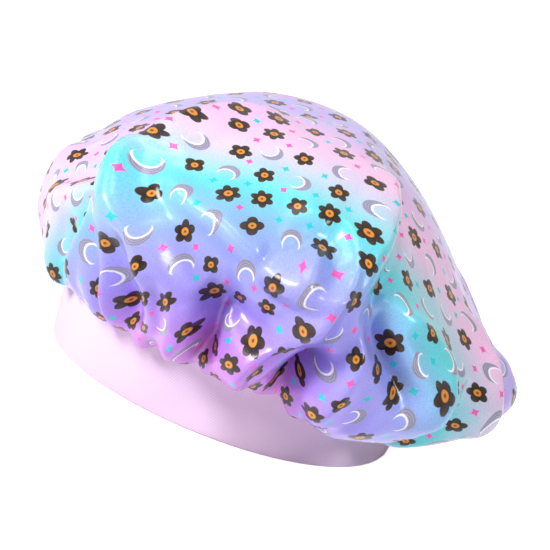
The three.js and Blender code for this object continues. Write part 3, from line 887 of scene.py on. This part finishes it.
class BONNET_OT_stage(bpy.types.Operator):
    """Pale floor, soft lights and the camera at the photograph's angle"""
    bl_idname = "bonnet.stage"
    bl_label = "Stage"

    def execute(self, context):
        studio, scene = context.scene.bonnet_studio, context.scene
        right, up, back = image_axes()
        aim = right * (PICTURE / 2 - ORIGIN_ACROSS) + up * (ORIGIN_DOWN - PICTURE / 2)
        camera = bpy.data.objects.new("camera", bpy.data.cameras.new("camera"))
        camera.data.sensor_width = SENSOR
        camera.data.lens = SENSOR * PIXELS_PER_MM * studio.distance / MM / PICTURE
        place = Matrix((right, up, back)).transposed().to_4x4()
        place.translation = aim * (MM / PIXELS_PER_MM) + back * studio.distance
        camera.matrix_world = place
        scene.collection.objects.link(camera)
        scene.camera = camera

        floor, tree = new_material("white paper floor")
        paper = add(tree, "ShaderNodeBsdfDiffuse", {"Color": (0.85, 0.85, 0.85, 1)})
        # the far floor, which the lamps don't reach, glows a little more
        place = add(tree, "ShaderNodeTexCoord")
        away = add(tree, "ShaderNodeVectorMath", {0: place.outputs["Object"]}, operation="LENGTH")
        away = add(tree, "ShaderNodeMapRange", {"Value": away, "From Min": 0.25, "From Max": 0.8,
                                                "To Min": 0.82, "To Max": 1.0})
        glow = add(tree, "ShaderNodeEmission", {"Color": (1, 1, 1, 1), "Strength": away})
        lit = add(tree, "ShaderNodeAddShader", {0: paper, 1: glow})
        shown = add(tree, "ShaderNodeMixShader", {0: looked_at(tree), 1: paper, 2: lit})
        add(tree, "ShaderNodeOutputMaterial", {"Surface": shown})
        half = 9.0
        plane = mesh_piece("floor", [(-half, -half, 0), (half, -half, 0), (half, half, 0), (-half, half, 0)],
                           [(0, 1, 2, 3)], [floor])

        world = bpy.data.worlds.new("studio")
        scene.world = world
        world.use_nodes = True
        tree = world.node_tree
        tree.nodes.clear()
        strength = add(tree, "ShaderNodeMapRange", {"Value": looked_at(tree), "To Min": 0.12, "To Max": 1.0})
        sky = add(tree, "ShaderNodeBackground", {"Color": (1, 1, 1, 1), "Strength": strength})
        add(tree, "ShaderNodeOutputWorld", {"Surface": sky})

        middle = Vector((0, 0.02, 0.08))
        for name, direction, far, size, power in (
            ("main light", back * 0.9 + up * 0.75 - right * 0.75, 1.2, 0.36, studio.key),
            ("top light", back * 0.5 + up * 1.0 + right * 0.1, 1.3, 0.45, studio.fill),
            ("side light", back * 0.7 + up * 0.25 + right * 0.8, 1.3, 0.35, 2.5 * studio.fill),
        ):
            lamp = bpy.data.lights.new(name, "AREA")
            lamp.shape, lamp.size, lamp.energy = "DISK", size, power
            light = bpy.data.objects.new(name, lamp)
            light.visible_camera = False
            light.location = middle + direction.normalized() * far
            light.rotation_euler = (-direction).to_track_quat("-Z", "Y").to_euler()
            scene.collection.objects.link(light)
        scene.view_settings.view_transform = "Standard"
        return {"FINISHED"}


class BONNET_PT_panel(bpy.types.Panel):
    bl_label = "Hair bonnet"
    bl_idname = "BONNET_PT_panel"
    bl_space_type = "VIEW_3D"
    bl_region_type = "UI"
    bl_category = "Bonnet"

    def draw(self, context):
        for step in STEPS:
            self.layout.operator(step.bl_idname)
        for group in (context.scene.bonnet_sizes, context.scene.bonnet_colours, context.scene.bonnet_studio):
            box = self.layout.box()
            for name in group.__annotations__:
                box.prop(group, name)


GROUPS = {"bonnet_sizes": BonnetSizes, "bonnet_colours": BonnetColours, "bonnet_studio": BonnetStudio}
STEPS = (BONNET_OT_stage, BONNET_OT_band, BONNET_OT_crown)


def register():
    for made in (*GROUPS.values(), *STEPS, BONNET_PT_panel):
        bpy.utils.register_class(made)
    for name, group in GROUPS.items():
        setattr(bpy.types.Scene, name, PointerProperty(type=group))


def unregister():
    for name in GROUPS:
        delattr(bpy.types.Scene, name)
    for made in (BONNET_PT_panel, *STEPS, *GROUPS.values()):
        bpy.utils.unregister_class(made)


def main():
    register()
    bpy.ops.bonnet.stage()
    bpy.ops.bonnet.band()
    bpy.ops.bonnet.crown()


if __name__ == "__main__":
    main()
